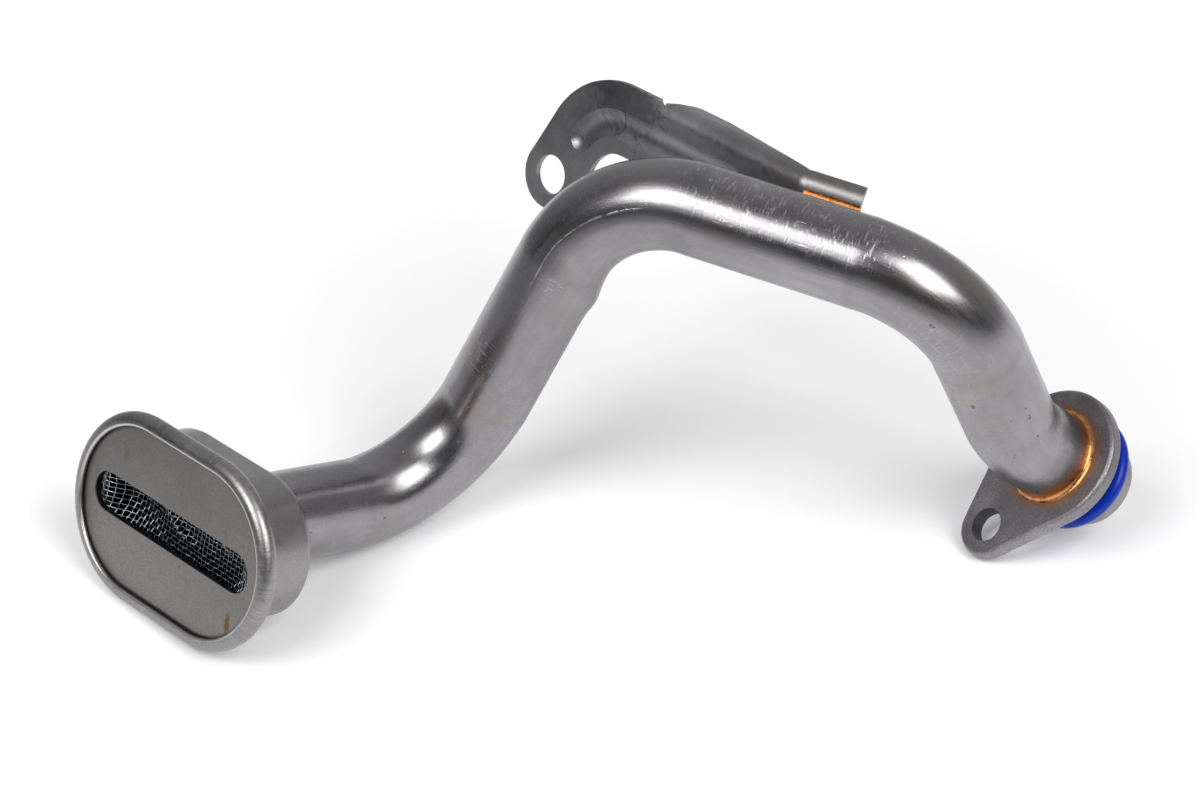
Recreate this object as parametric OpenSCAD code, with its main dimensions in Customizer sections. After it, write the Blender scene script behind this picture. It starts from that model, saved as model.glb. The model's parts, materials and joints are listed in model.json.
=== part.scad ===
// Engine oil pickup tube: a bent steel tube with a crimped strainer at its inlet, a one-bolt flange
// and a rubber ring at its outlet, and a stamped support bracket brazed to its side.
// The pieces are built in the strainer's own frame, with Z along the first leg of the tube and
// zero at the middle of the strainer's rim. The whole part is then laid down as it comes to rest.

/* [Tube] */
// Outside diameter of the tube
tube_od = 22.2; // [20:0.1:24]
// Wall thickness of the tube
tube_wall = 1; // [0.9:0.05:2]
// Radius of every bend, on the tube's centreline
bend_radius = 31.5; // [28:0.5:40]
// First leg, from the middle of the strainer's rim to the first bend
leg_1 = 46; // [36:0.5:70]
// Second leg, between the first and second bends
leg_2 = 44.5; // [30:0.5:80]
// Third leg, which carries the bracket
leg_3 = 40.5; // [38:0.5:80]
// Fourth leg, between the third and fourth bends
leg_4 = 26; // [10:0.5:60]
// Fifth leg, from the fourth bend to the flange
leg_5 = 9.5; // [4:0.5:30]
// Angle of the first bend
bend_1 = 89.5; // [60:0.5:110]
// Angle of the second bend
bend_2 = 73.5; // [45:0.5:100]
// Angle of the third bend
bend_3 = 69; // [40:0.5:90]
// Angle of the fourth bend
bend_4 = 22; // [5:0.5:45]
// Turn of the tube before the first bend
turn_1 = -71; // [-100:0.5:-40]
// Turn of the tube before the second bend
turn_2 = 116.5; // [90:0.5:140]
// Turn of the tube before the third bend
turn_3 = 31.5; // [10:0.5:60]
// Turn of the tube before the fourth bend
turn_4 = 130; // [100:0.5:160]
// How much the bends draw the tube's radius down
bend_draw = 0.1; // [0.05:0.01:0.2]
// Length of the outlet spigot, from the flange's near face to the tip
spigot_length = 19; // [15:0.5:30]
// Rounding of the spigot's tip
tip_round = 0.8; // [0.2:0.1:1]

/* [Strainer] */
// Distance of the strainer's end centres from its middle
strainer_half = 12; // [8:0.5:24]
// Radius of the rim's round ends
rim_r = 23.75; // [22.5:0.25:32]
// Depth of the housing from the middle of the rim to its back
housing_depth = 18; // [12:0.5:26]
// Outside radius of the housing's wall at its round ends
housing_r = 17.75; // [16.75:0.25:18.5]
// Outside radius of the housing's back edge
back_round = 2; // [1.8:0.1:2.5]
// Outside radius of the fold between the wall and the rim
fold_round = 3; // [0.5:0.1:3.4]
// Thickness of the housing's sheet
sheet = 1.4; // [0.8:0.05:1.5]
// Width of the lip that is folded over the cover
lip_w = 3.4; // [3.3:0.1:5]
// Thickness of the cover
cover_t = 1.75; // [0.8:0.05:2]
// Distance of the slot's end centres from its middle
slot_half = 23.5; // [12:0.5:24.5]
// Half of the slot's width
slot_r = 5; // [3:0.25:7]
// Thickness of the screen
screen_t = 0.5; // [0.3:0.05:0.8]
// Depth of the dish pressed into the screen
screen_dip = 3; // [1.5:0.25:6]
// Distance from the rim's outer edge to the foot of the screen's dish
dish_margin = 8.5; // [7:0.25:10]
// Width of one gap in the screen
gap_w = 1.6; // [0.8:0.1:1.7]
// Spacing of the gaps along the slot
gap_pitch_x = 2.2; // [2:0.05:2.3]
// Spacing of the gaps across the slot
gap_pitch_y = 2; // [1.9:0.05:2.3]
// Offset of the inlet leg along the strainer
inlet_x = 8.5; // [-12:0.5:12]
// Offset of the inlet leg across the strainer
inlet_y = -3.5; // [-3.5:0.25:3.5]
// Length of tube that stands inside the housing
inlet_stand = 2; // [0.5:0.5:5]

/* [Flange] */
// Radius of the flange around the tube
flange_r = 17.5; // [15:0.25:24]
// Thickness of the flange
flange_t = 4; // [3:0.25:8]
// Rounding of the flange's edges
flange_edge = 1; // [0.4:0.1:1.4]
// Distance from the tube to the bolt hole
bolt_offset = 23.5; // [21:0.5:32]
// Radius of the bolt hole
bolt_r = 4.25; // [3:0.25:5.5]
// Radius of the lobe around the bolt hole
lobe_r = 8; // [7:0.25:11]
// Turn of the flange about the tube
flange_turn = 181; // [150:1:210]
// Section diameter of the rubber ring
ring_d = 3.8; // [2.5:0.1:4.5]
// Distance from the flange's near face to the middle of the rubber ring
ring_at = 10.5; // [10.5:0.5:12]

/* [Bracket] */
// Thickness of the bracket's sheet
bracket_t = 1.6; // [1.2:0.1:2.5]
// Start of the brazed pad, along the third leg
pad_at = 20.5; // [8:0.5:24]
// Length of the brazed pad
pad_length = 14; // [10:0.5:14]
// Turn of the pad about the tube
pad_turn = 82.5; // [60:0.5:105]
// Angle of the bend between the pad and the web
web_bend = 25.5; // [10:0.5:40]
// Inside radius of that bend
web_bend_r = 3; // [1.5:0.5:6]
// Distance of the stud hole from the bend, along the web
stud_x = 76; // [72:0.5:90]
// Distance of the stud hole from the tube's line, across the web
stud_y = 17; // [14:0.5:22]
// Radius of the stud hole
stud_r = 5; // [3.5:0.25:6]
// Radius of the lobe around the stud hole
stud_lobe_r = 8.75; // [8:0.25:11]
// Distance of the web's corner from the bend
corner_x = 57; // [54:0.5:62]
// Distance of the web's straight edge from the tube's line
edge_y = 13.5; // [12:0.5:16]
// Radius of the web's outer corner
corner_r = 23.5; // [21:0.5:25]
// Radius of the web's inner corner
inner_r = 9; // [7:0.5:10]
// Distance of the web's inner edge from the tube's line
inner_y = 4; // [2:0.5:6]
// Distance of the pad's inner edge from the tube's line
pad_y = 10; // [9:0.5:14]
// Height of the stiffening lip above the web's underside
lip_h = 7.5; // [6:0.5:12]
// Length of the lip's level part
lip_level = 16; // [10:0.5:30]
// Height of the lip at its low end
lip_low = 3; // [2.5:0.5:5]
// Start of the lip, from the bend
lip_start = 46; // [40:0.5:50]
// Length over which the lip rises at its start
lip_rise = 6.5; // [4:0.5:9]
// Outside radius of the lip's fold
lip_round = 4; // [3.2:0.1:5]
// Width of the pressed rib
rib_w = 7.5; // [5:0.5:9]
// Distance of the rib's middle from the tube's line
rib_y = 3; // [2:0.5:4]
// Depth of the pressed rib
rib_depth = 1.5; // [0.8:0.1:2]
// End of the rib, from the bend
rib_end = 20; // [12:1:36]
// Sweep of the rib round the corner
rib_sweep = 65; // [40:5:80]

/* [Braze] */
// Gap between brazed pieces
braze_gap = 0.1; // [0.05:0.05:0.3]
// Fillet radius of the braze at the housing
housing_fillet = 1.6; // [0.8:0.1:2]
// Fillet radius of the braze at the flange
flange_fillet = 1.2; // [0.6:0.1:2]
// Fillet radius of the braze under the bracket's pad
pad_fillet = 2; // [1:0.1:3]

/* [Resting pose] */
// Turn about the inlet leg, before the part is tipped over
rest_turn = 176.95; // [-180:0.05:180]
// Tip angle about X
rest_tip = 108.25; // [-180:0.05:180]
// Heading angle of the part as it lies
rest_heading = 133.4; // [-180:0.05:180]
// Shift along X that centres the part
rest_x = -102.46; // [-200:0.01:200]
// Shift along Y that centres the part
rest_y = -36.26; // [-200:0.01:200]
// Lift that sets the part on the surface below
rest_z = 23.31; // [-200:0.01:200]

/* [Hidden] */
$fn = 64;

tube_r = tube_od / 2;
tube_start = housing_depth - sheet - inlet_stand;
legs = [leg_1 - tube_start, leg_2, leg_3, leg_4, leg_5 + spigot_length];
bends = [bend_1, bend_2, bend_3, bend_4];
turns = [turn_1, turn_2, turn_3, turn_4];
last_leg = len(legs) - 1;
// angle by which a bend reaches into the legs that it joins
bend_overlap = 1.5;
// how far a cut runs past the face it leaves
past = 5;

// the rim folds round the screen and the cover in a U of one sheet's thickness
stack = cover_t + screen_t;
hem_r = stack / 2 + sheet;
hem_x = rim_r - hem_r;
edge_clear = 0.1;
cover_r = hem_x - edge_clear;
cover_front = -stack / 2;
screen_front = cover_front + cover_t;
dish_r = rim_r - dish_margin;
// slope of the dish's side, as width for its depth
dish_side = 0.8 * screen_dip;
// gaps in the screen, in columns along the slot and rows across it
gap_columns = 24;
gap_rows = 5;

// the web is cut from sheet, and the rib is pressed into it as part of a round bar
corner_y = corner_r - edge_y;
rib_r = corner_y + rib_y;
rib_bar = (pow(rib_w / 2, 2) + pow(rib_depth, 2)) / (2 * rib_depth);
// the rib grows slimmer in small steps, at its corner and its ends, and its corner overlaps by an angle
rib_draw = 0.1;
rib_overlap = 3;
// the fold at the pad is drawn a little thinner, and reaches into both flats by an angle
fold_draw = 0.05;
fold_overlap = 4;
relief_r = 1.2;
// the line that joins two arcs lies a little inside them
line_draw = 0.05;
// height of the lip along the fold and the pad
fold_lip = min(lip_low, web_bend_r + bracket_t - 0.6);

// Moves its children to the start of one leg, with Z along the tube
module at_leg(i) {
    if (i == 0)
        translate([inlet_x, inlet_y, tube_start])
            children();
    else
        at_leg(i - 1)
            translate([0, 0, legs[i - 1]])
                rotate([0, 0, turns[i - 1]])
                    translate([bend_radius, 0, 0])
                        rotate([0, bends[i - 1], 0])
                            translate([-bend_radius, 0, 0])
                                children();
}

// One bend of round bar, leaving the origin along Z towards +X, with its ends sunk in the legs
module bend_bar(r, angle) {
    translate([bend_radius, 0, 0])
        rotate([90, 0, 180])
            rotate([0, 0, -bend_overlap])
                rotate_extrude(angle = angle + 2 * bend_overlap)
                    translate([bend_radius, 0])
                        circle(r - bend_draw);
}

// The tube's route as round bar, with its inlet and outlet run on by given lengths
module route(r, inlet_run, outlet_run) {
    for (i = [0 : last_leg])
        at_leg(i) {
            low = i == 0 ? inlet_run : 0;
            high = i == last_leg ? outlet_run : 0;
            translate([0, 0, -low])
                cylinder(r = r, h = legs[i] + low + high);
            if (i < last_leg)
                translate([0, 0, legs[i]])
                    rotate([0, 0, turns[i]])
                        bend_bar(r, bends[i]);
        }
}

// Rounding of the spigot's tip, as the ring that is cut away
module tip_cut(e) {
    rotate_extrude()
        translate([tube_r - e, 0])
            difference() {
                square([past, past]);
                intersection() {
                    circle(e);
                    square(e);
                }
            }
}

// Moves its children to the flange's near face
module at_flange() {
    at_leg(last_leg)
        translate([0, 0, leg_5])
            children();
}

module pickup_tube() {
    e = min(tip_round, 0.8 * tube_wall);
    color("#8f8e8c")
        difference() {
            route(tube_r, 0, 0);
            route(tube_r - tube_wall, past, past);
            at_leg(last_leg)
                translate([0, 0, legs[last_leg] - e])
                    tip_cut(e);
        }
}

// Sweeps a section round a long hole's outline: X of the section is the distance from its spine
module round_outline(half) {
    for (side = [0, 180])
        rotate([0, 0, side]) {
            translate([half, 0, 0])
                rotate([0, 0, -90])
                    rotate_extrude(angle = 180)
                        children();
            rotate([90, 0, 90])
                linear_extrude(2 * half, center = true)
                    children();
        }
}

// A quarter of a ring in one quadrant, for folds of sheet
module fold(r, x_sign, y_sign) {
    intersection() {
        difference() {
            circle(r);
            circle(r - sheet);
        }
        translate([x_sign < 0 ? -r : 0, y_sign < 0 ? -r : 0])
            square(r);
    }
}

// Half section of the housing: back, wall, fold, rim and the lip over the cover
module housing_section() {
    translate([0, housing_depth - sheet])
        square([housing_r - back_round, sheet]);
    translate([housing_r - back_round, housing_depth - back_round])
        fold(back_round, 1, 1);
    translate([housing_r - sheet, hem_r + fold_round])
        square([sheet, housing_depth - back_round - hem_r - fold_round]);
    translate([housing_r + fold_round, hem_r + fold_round])
        fold(fold_round + sheet, -1, -1);
    translate([housing_r + fold_round, hem_r - sheet])
        square([hem_x - housing_r - fold_round, sheet]);
    intersection() {
        translate([hem_x, 0])
            difference() {
                circle(hem_r);
                circle(hem_r - sheet);
            }
        translate([hem_x, -hem_r])
            square([hem_r, 2 * hem_r]);
    }
    translate([rim_r - lip_w + sheet / 2, -hem_r])
        square([lip_w - hem_r - sheet / 2, sheet]);
    translate([rim_r - lip_w + sheet / 2, -hem_r + sheet / 2])
        circle(sheet / 2);
}

module strainer_housing() {
    color("#8a8783")
        difference() {
            round_outline(strainer_half)
                housing_section();
            translate([inlet_x, inlet_y, housing_depth - sheet - past])
                cylinder(r = tube_r + braze_gap, h = sheet + 2 * past);
        }
}

// A flat long hole shape
module long_hole(half, r) {
    square([2 * half, 2 * r], center = true);
    for (side = [-1, 1])
        translate([side * half, 0])
            circle(r);
}

module strainer_cover() {
    color("#7f7b77")
        translate([0, 0, cover_front])
            linear_extrude(cover_t)
                difference() {
                    long_hole(strainer_half, cover_r);
                    long_hole(slot_half, slot_r);
                }
}

// Half section of the screen: clamped border, sloped side and floor of the dish
module screen_section() {
    floor_z = screen_front + screen_dip;
    polygon([
        [0, floor_z],
        [dish_r - dish_side, floor_z],
        [dish_r, screen_front],
        [cover_r, screen_front],
        [cover_r, screen_front + screen_t],
        [dish_r + screen_t / 2, screen_front + screen_t],
        [dish_r + screen_t / 2 - dish_side, floor_z + screen_t],
        [0, floor_z + screen_t]
    ]);
}

module strainer_screen() {
    color("#c2c4c4")
        difference() {
            round_outline(strainer_half)
                screen_section();
            for (i = [0 : gap_columns - 1], j = [0 : gap_rows - 1])
                translate([
                    (i - (gap_columns - 1) / 2) * gap_pitch_x,
                    (j - (gap_rows - 1) / 2) * gap_pitch_y,
                    screen_front + screen_dip / 2 + screen_t
                ])
                    cube([gap_w, gap_w, screen_dip + 2 * screen_t], center = true);
        }
}

// Section of the flange's edge: a flat slab, round on its outer side, whose outer side is at X = r
module edge_section(r) {
    e = min(flange_edge, 0.45 * flange_t);
    square([r - e, flange_t]);
    translate([r - 2 * e, e])
        square([2 * e, flange_t - 2 * e]);
    for (y = [e, flange_t - e])
        translate([r - e, y])
            circle(e);
}

// Teardrop slab: two rounded discs and the sides that run between them
module teardrop() {
    tangent = acos((flange_r - lobe_r) / bolt_offset);
    toward = [cos(tangent), sin(tangent)];
    inset = 2 * flange_edge;
    rotate_extrude()
        edge_section(flange_r);
    translate([bolt_offset, 0, 0])
        rotate_extrude()
            edge_section(lobe_r);
    for (side = [0, 1])
        mirror([0, side, 0]) {
            translate(flange_r * [toward.x, toward.y, 0])
                rotate([90, 0, tangent])
                    linear_extrude(bolt_offset * sin(tangent))
                        translate([-inset - flange_edge, 0])
                            edge_section(inset + flange_edge);
            linear_extrude(flange_t)
                polygon([
                    [0, 0],
                    (flange_r - inset) * toward,
                    [bolt_offset, 0] + (lobe_r - inset) * toward,
                    [bolt_offset, 0]
                ]);
        }
}

module mounting_flange() {
    color("#5d5c5b")
        at_flange()
            rotate([0, 0, flange_turn])
                difference() {
                    teardrop();
                    translate([0, 0, -past])
                        cylinder(r = tube_r + braze_gap, h = flange_t + 2 * past);
                    translate([bolt_offset, 0, -past])
                        cylinder(r = bolt_r, h = flange_t + 2 * past);
                }
}

module o_ring() {
    color("#1d56c4")
        at_flange()
            translate([0, 0, ring_at])
                rotate_extrude()
                    translate([tube_r + ring_d / 2, 0])
                        circle(d = ring_d);
}

// A hollow fillet round the tube, standing on the plane below it
module tube_fillet(r) {
    rotate_extrude()
        translate([tube_r, 0])
            difference() {
                square(r);
                translate([r, r])
                    circle(r);
            }
}

module housing_braze() {
    color("#b5723f")
        translate([inlet_x, inlet_y, housing_depth])
            tube_fillet(housing_fillet);
}

module flange_braze() {
    color("#b5723f")
        at_flange()
            mirror([0, 0, 1])
                tube_fillet(flange_fillet);
}

// Moves its children to the pad: X along the tube, Z away from it, zero on the pad's underside
module at_pad() {
    at_leg(2)
        translate([0, 0, pad_at])
            rotate([0, 0, pad_turn])
                translate([tube_r + braze_gap, 0, 0])
                    rotate([180, -90, 0])
                        children();
}

// Moves its children to the web, which runs towards -X from the bend at the pad
module at_web() {
    z = web_bend_r + bracket_t;
    at_pad()
        translate([0, 0, z])
            rotate([0, web_bend, 0])
                translate([0, 0, -z])
                    children();
}

// The web's outline: stud lobe, the line that touches lobe and corner, straight edge and inner corner
module web_outline() {
    inner_x = corner_x - inner_r / 4;
    run = [stud_x - corner_x, corner_y - stud_y];
    side = atan2(run[1], run[0]) - acos(max(-0.98, (stud_lobe_r - corner_r) / norm(run)));
    touch = [cos(side), sin(side)];
    difference() {
        union() {
            intersection() {
                translate([-corner_x, corner_y])
                    circle(corner_r);
                translate([-corner_x - corner_r, -edge_y])
                    square([2 * corner_r, edge_y + inner_y + inner_r]);
            }
            polygon([
                [-corner_x, -edge_y],
                [0, -edge_y],
                [0, pad_y],
                [-corner_x / 3, inner_y],
                [-corner_x, inner_y]
            ]);
            polygon([
                [-stud_x, stud_y] + (stud_lobe_r - line_draw) * touch,
                [-corner_x, corner_y] + (corner_r - line_draw) * touch,
                [-inner_x - inner_r / 2, inner_y + inner_r / 2],
                [-inner_x - inner_r / 2, inner_y + inner_r],
                [-stud_x + stud_lobe_r * cos(30), stud_y + stud_lobe_r * sin(30)],
                [-stud_x, stud_y]
            ]);
            translate([-stud_x, stud_y])
                circle(stud_lobe_r);
        }
        translate([-inner_x, inner_y + inner_r])
            circle(inner_r);
        translate([-inner_x, inner_y])
            square([corner_x, corner_r]);
        translate([-lip_start, -edge_y])
            circle(relief_r);
        translate([-stud_x, stud_y])
            circle(stud_r);
    }
}

// Section of the lip, across the web, drawn slimmer by e: Y of the section is the height
module lip_section(height, e) {
    translate([lip_round, lip_round])
        intersection() {
            difference() {
                circle(lip_round - e);
                circle(lip_round - bracket_t + e);
            }
            translate([-lip_round, -lip_round])
                square([lip_round, min(lip_round, height - e)]);
        }
    if (height > lip_round)
        translate([e, lip_round])
            square([bracket_t - 2 * e, height - lip_round]);
}

// Section of the pad and of the fold beside it: a flat with the low lip on its edge
module pad_section(e) {
    translate([-edge_y, 0])
        lip_section(fold_lip, e);
    translate([lip_round - edge_y, e])
        square([edge_y + pad_y - lip_round - e, bracket_t - 2 * e]);
}

// The lip's side view above its top edge: it rises in a soft S, runs level and falls towards the pad
module lip_trim() {
    foot = lip_round / 2;
    steps = 6;
    polygon([
        [-past, foot],
        for (i = [0 : steps])
            let (t = i / steps)
                [lip_rise * t, foot + (lip_h - foot) * t * t * (3 - 2 * t)],
        [lip_rise, lip_h + past],
        [-past, lip_h + past]
    ]);
    polygon([
        [lip_level, lip_h],
        [lip_start, lip_low],
        [lip_start + past, lip_low],
        [lip_start + past, lip_h + past],
        [lip_level, lip_h + past]
    ]);
}

// The stiffening lip along the web's straight edge
module web_lip() {
    translate([-lip_start, -edge_y, 0])
        difference() {
            rotate([90, 0, 90])
                linear_extrude(lip_start)
                    lip_section(lip_h, 0);
            translate([0, past, 0])
                rotate([90, 0, 0])
                    linear_extrude(2 * past)
                        lip_trim();
        }
}

// The rib's route along the web and round its corner, as round bar
module rib(r) {
    at_y = corner_y - rib_r;
    translate([-corner_x, at_y, 0])
        rotate([0, 90, 0])
            cylinder(r = r, h = corner_x - rib_end);
    translate([-rib_end, at_y, 0])
        sphere(r - rib_draw);
    translate([-corner_x, corner_y, 0])
        rotate([0, 0, -90 - rib_sweep]) {
            rotate_extrude(angle = rib_sweep + rib_overlap)
                translate([rib_r, 0])
                    circle(r - rib_draw);
            translate([rib_r, 0, 0])
                sphere(r - 2 * rib_draw);
        }
}

// The web as sheet, with the rib pressed upwards through it
module web() {
    drop = rib_bar - rib_depth;
    difference() {
        union() {
            difference() {
                linear_extrude(bracket_t)
                    web_outline();
                translate([-lip_start, -edge_y - past, -past])
                    cube([lip_start + past, lip_round + past, bracket_t + 2 * past]);
            }
            web_lip();
            intersection() {
                translate([0, 0, -drop])
                    rib(rib_bar + bracket_t);
                translate([-stud_x - corner_r, -edge_y, 0])
                    cube([stud_x + corner_r, edge_y + stud_y + corner_r, rib_depth + bracket_t + past]);
            }
        }
        translate([0, 0, -drop])
            rib(rib_bar);
    }
}

// The fold between the pad and the web, about an axis across the bracket
module pad_fold() {
    axis_z = web_bend_r + bracket_t;
    translate([0, 0, axis_z])
        rotate([90, 0, 0])
            rotate([0, 0, -90 - web_bend - fold_overlap])
                rotate_extrude(angle = web_bend + 2 * fold_overlap)
                    translate([axis_z, 0])
                        mirror([0, 1])
                            rotate([0, 0, 90])
                                pad_section(fold_draw);
}

module support_bracket() {
    color("#6f6d6b") {
        at_web()
            web();
        at_pad() {
            pad_fold();
            rotate([90, 0, 90])
                linear_extrude(pad_length)
                    pad_section(0);
        }
    }
}

module bracket_braze() {
    center_z = tube_r + braze_gap;
    toe = sqrt(pow(tube_r + pad_fillet, 2) - pow(center_z - pad_fillet, 2));
    color("#b5723f")
        at_pad()
            translate([0, 0, -center_z])
                rotate([90, 0, 90])
                    linear_extrude(pad_length)
                        difference() {
                            translate([-toe, center_z - pad_fillet])
                                square([2 * toe, pad_fillet]);
                            circle(tube_r);
                            for (side = [-1, 1])
                                translate([side * toe, center_z - pad_fillet])
                                    circle(pad_fillet);
                        }
}

// Lays the part down as it comes to rest
module at_rest() {
    translate([rest_x, rest_y, rest_z])
        rotate([0, 0, rest_heading])
            rotate([rest_tip, 0, 0])
                rotate([0, 0, rest_turn])
                    children();
}

at_rest() pickup_tube();
at_rest() strainer_housing();
at_rest() strainer_cover();
at_rest() strainer_screen();
at_rest() mounting_flange();
at_rest() support_bracket();
at_rest() o_ring();
at_rest() housing_braze();
at_rest() flange_braze();
at_rest() bracket_braze();
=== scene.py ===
"""Dresses an engine oil pickup tube: bare steel, woven screen, braze, rubber ring and a white studio."""

import json
from math import cos, exp, pi, radians, sin, sqrt

import bmesh
import bpy
from bpy.props import FloatProperty, FloatVectorProperty, PointerProperty
from bpy.types import Operator, Panel, PropertyGroup
from mathutils import Matrix, Vector, noise


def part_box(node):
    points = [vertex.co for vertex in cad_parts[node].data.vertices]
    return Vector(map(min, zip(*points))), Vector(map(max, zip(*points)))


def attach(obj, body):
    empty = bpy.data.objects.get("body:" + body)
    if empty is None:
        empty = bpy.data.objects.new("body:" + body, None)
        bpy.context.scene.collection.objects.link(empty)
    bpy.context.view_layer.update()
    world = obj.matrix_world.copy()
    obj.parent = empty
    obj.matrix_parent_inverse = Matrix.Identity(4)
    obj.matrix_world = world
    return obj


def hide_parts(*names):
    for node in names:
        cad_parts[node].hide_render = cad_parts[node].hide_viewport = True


bl_info = {
    "name": "Oil Pickup Tube",
    "version": (1, 0, 0),
    "blender": (4, 5, 0),
    "location": "3D View > Sidebar > Pickup",
    "description": "Dresses an oil pickup tube in bare steel, copper braze, woven wire and blue rubber",
    "category": "Object",
}

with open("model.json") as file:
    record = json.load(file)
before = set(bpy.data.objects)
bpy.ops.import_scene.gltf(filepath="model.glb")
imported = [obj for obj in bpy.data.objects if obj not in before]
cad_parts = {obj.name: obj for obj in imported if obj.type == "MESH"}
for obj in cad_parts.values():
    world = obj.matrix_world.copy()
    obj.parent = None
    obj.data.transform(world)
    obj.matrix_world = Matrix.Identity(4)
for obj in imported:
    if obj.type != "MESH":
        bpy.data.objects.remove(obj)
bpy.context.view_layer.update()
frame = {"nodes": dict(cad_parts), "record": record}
NODES = frame["nodes"]
MM = 0.001


# Sizes and colours


def number(name, description, default):
    """A plain number."""
    return FloatProperty(name=name, description=description, default=default)


def length(name, description, millimetres):
    """A length, given in millimetres and held in metres."""
    return FloatProperty(
        name=name, description=description, default=millimetres * MM, unit="LENGTH", precision=5
    )


def lengths(name, description, millimetres):
    """A place or a row of lengths, given in millimetres and held in metres."""
    return FloatVectorProperty(
        name=name,
        description=description,
        default=[each * MM for each in millimetres],
        size=len(millimetres),
        unit="LENGTH",
        precision=5,
    )


def angle(name, description, degrees):
    """An angle, given in degrees and held in radians."""
    return FloatProperty(name=name, description=description, default=radians(degrees), subtype="ANGLE")


def angles(name, description, degrees):
    """A row of angles, given in degrees and held in radians."""
    return FloatVectorProperty(
        name=name,
        description=description,
        default=[radians(each) for each in degrees],
        size=len(degrees),
        subtype="EULER",
    )


def colour(name, description, rgb):
    """A colour in linear light."""
    return FloatVectorProperty(
        name=name, description=description, default=rgb, size=3, subtype="COLOR", min=0, max=1
    )


class PickupRoute(PropertyGroup):
    """The tube's route and marks, and how the part lies"""

    tube_od: length("Tube diameter", "Outside diameter of the tube", 22.2)
    tube_wall: length("Tube wall", "Wall thickness of the tube", 1)
    inlet: lengths("Inlet", "Where the tube starts, in the strainer's frame", (8.5, -3.5, 14.6))
    legs: lengths("Legs", "Straight lengths between the bends", (31.4, 44.5, 40.5, 26, 28.5))
    bend_radius: length("Bend radius", "Radius of every bend on the centreline", 31.5)
    bends: angles("Bends", "Angle of each bend", (89.5, 73.5, 69, 22))
    turns: angles("Turns", "Turn of the tube before each bend", (-71, 116.5, 31.5, 130))
    spigot: length("Spigot", "Length of tube past the flange's near face", 19)
    tip_round: length("Tip rounding", "Rounding of the spigot's tip", 0.8)
    rest_turns: angles("Resting turns", "Turn, tip and heading of the part", (176.95, 108.25, 133.4))
    rest_shift: lengths("Resting shift", "Shift that sets the part on the floor", (-102.46, -36.26, 23.31))
    bend_draw: length("Bend draw", "How much the bends draw the radius down", 0.15)
    bend_edge: length("Bend edge", "Length over which a bend is drawn down", 6)
    ring_rise: length("Ring rise", "Rise of the faint rings at the ends of the bends", 0.035)
    ring_width: length("Ring width", "Half width of those rings", 1)
    ring_stray: length("Ring stray", "How far those rings stray along the tube", 0.8)
    knee_rise: length("Knee rise", "Rise of the fold before the second bend", 0.7)
    knee_before: length("Knee before", "Distance from the fold to the second bend", 6)
    knee_width: length("Knee width", "Half width of the fold along the tube", 3.5)
    crown_before: length("Crown before", "How far before the second bend's end the worn crown starts", 6)
    crown_past: length("Crown past", "How far past the third bend's start the worn crown ends", 9)
    crown_fade: length("Crown fade", "Length over which the crown's wear fades", 8)
    copper_reach: length("Copper reach", "How far copper is drawn along the tube from the flange", 5)
    copper_stray: length("Copper stray", "How far the copper's edge strays", 2.5)
    copper_past: length("Copper past", "How far the copper goes on inside the flange", 3)
    copper_fade: length("Copper fade", "Length over which the copper ends there", 1)
    seam_turn: angle("Seam turn", "Where the seam lies round the tube", -58)
    seam_at: length("Seam middle", "Middle of the seam's bright stretch along the tube", 137)
    seam_near: length("Seam near", "Distance from that middle at which the seam starts to fade", 14)
    seam_far: length("Seam far", "Distance from that middle at which the seam is gone", 20)


class PickupStrainer(PropertyGroup):
    """The strainer and its woven screen"""

    half: length("Half length", "Distance of the strainer's end centres from its middle", 12)
    lip_r: length("Lip radius", "Inner radius of the rim's lip", 20.4)
    # The lip's bright line is a painted highlight along its inner edge
    lip_edge: length("Lip edge", "Distance of the lip's bright line from its inner radius", 0.35)
    rim_from: length("Rim from", "Distance of the rim's cross lines from the lip's inner radius", 0.7)
    # The cover's dark border is painted shade in the gap by the rim's lip
    border: length("Border", "Width of the cover's dark border inside the lip", 0.9)
    border_full: length("Border full", "Distance from the lip at which that border is darkest", 0.1)
    cup_r: length("Cup radius", "Radius between the cup's inner and outer wall", 17.3)
    cup_floor: length("Cup floor", "Height between the cup's inner and outer floor", 17.5)
    slot_half: length("Slot half length", "Distance of the slot's end centres from its middle", 23.5)
    slot_r: length("Slot radius", "Radius just past the slot's edge", 5.08)
    burr: length("Burr", "Height of the slot's bright edge", -0.75)
    edge_r: length("Edge radius", "Radius of the screen's clamped edge", 21.1)
    front: length("Screen front", "Height of the screen's clamped border", 0.75)
    dish_r: length("Dish radius", "Radius of the dish's foot", 15.25)
    dip: length("Dip", "Depth of the dish", 3.2)
    ramp: length("Ramp", "Width of the dish's sloped side", 6.5)
    ripple: length("Ripple", "Unevenness of the dish", 0.3)
    hollow: length("Hollow", "Extra depth at the dish's left end", 2.3)
    hollow_at: length("Hollow middle", "Place of the hollow along the slot", -17)
    hollow_length: length("Hollow length", "Half length of the hollow along the slot", 8)
    hollow_width: length("Hollow width", "Half width of the hollow across the slot", 6.5)
    crease: length("Crease", "Height of the crushed crease in the screen", 1.5)
    crease_at: lengths("Crease middle", "Middle of the crease, along and across the slot", (-1.5, 0.6))
    crease_width: length("Crease width", "Half width of the crease", 0.8)
    crease_length: length("Crease length", "Half length of the crease", 5)
    crease_sway: length("Crease sway", "How far the crease sways to its sides", 0.5)
    wire_d: length("Wire", "Diameter of the wire", 0.25)
    pitch_x: length("Pitch along", "Spacing of the wires that run across the slot", 1.45)
    pitch_y: length("Pitch across", "Spacing of the wires that run along the slot", 1.22)


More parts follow.
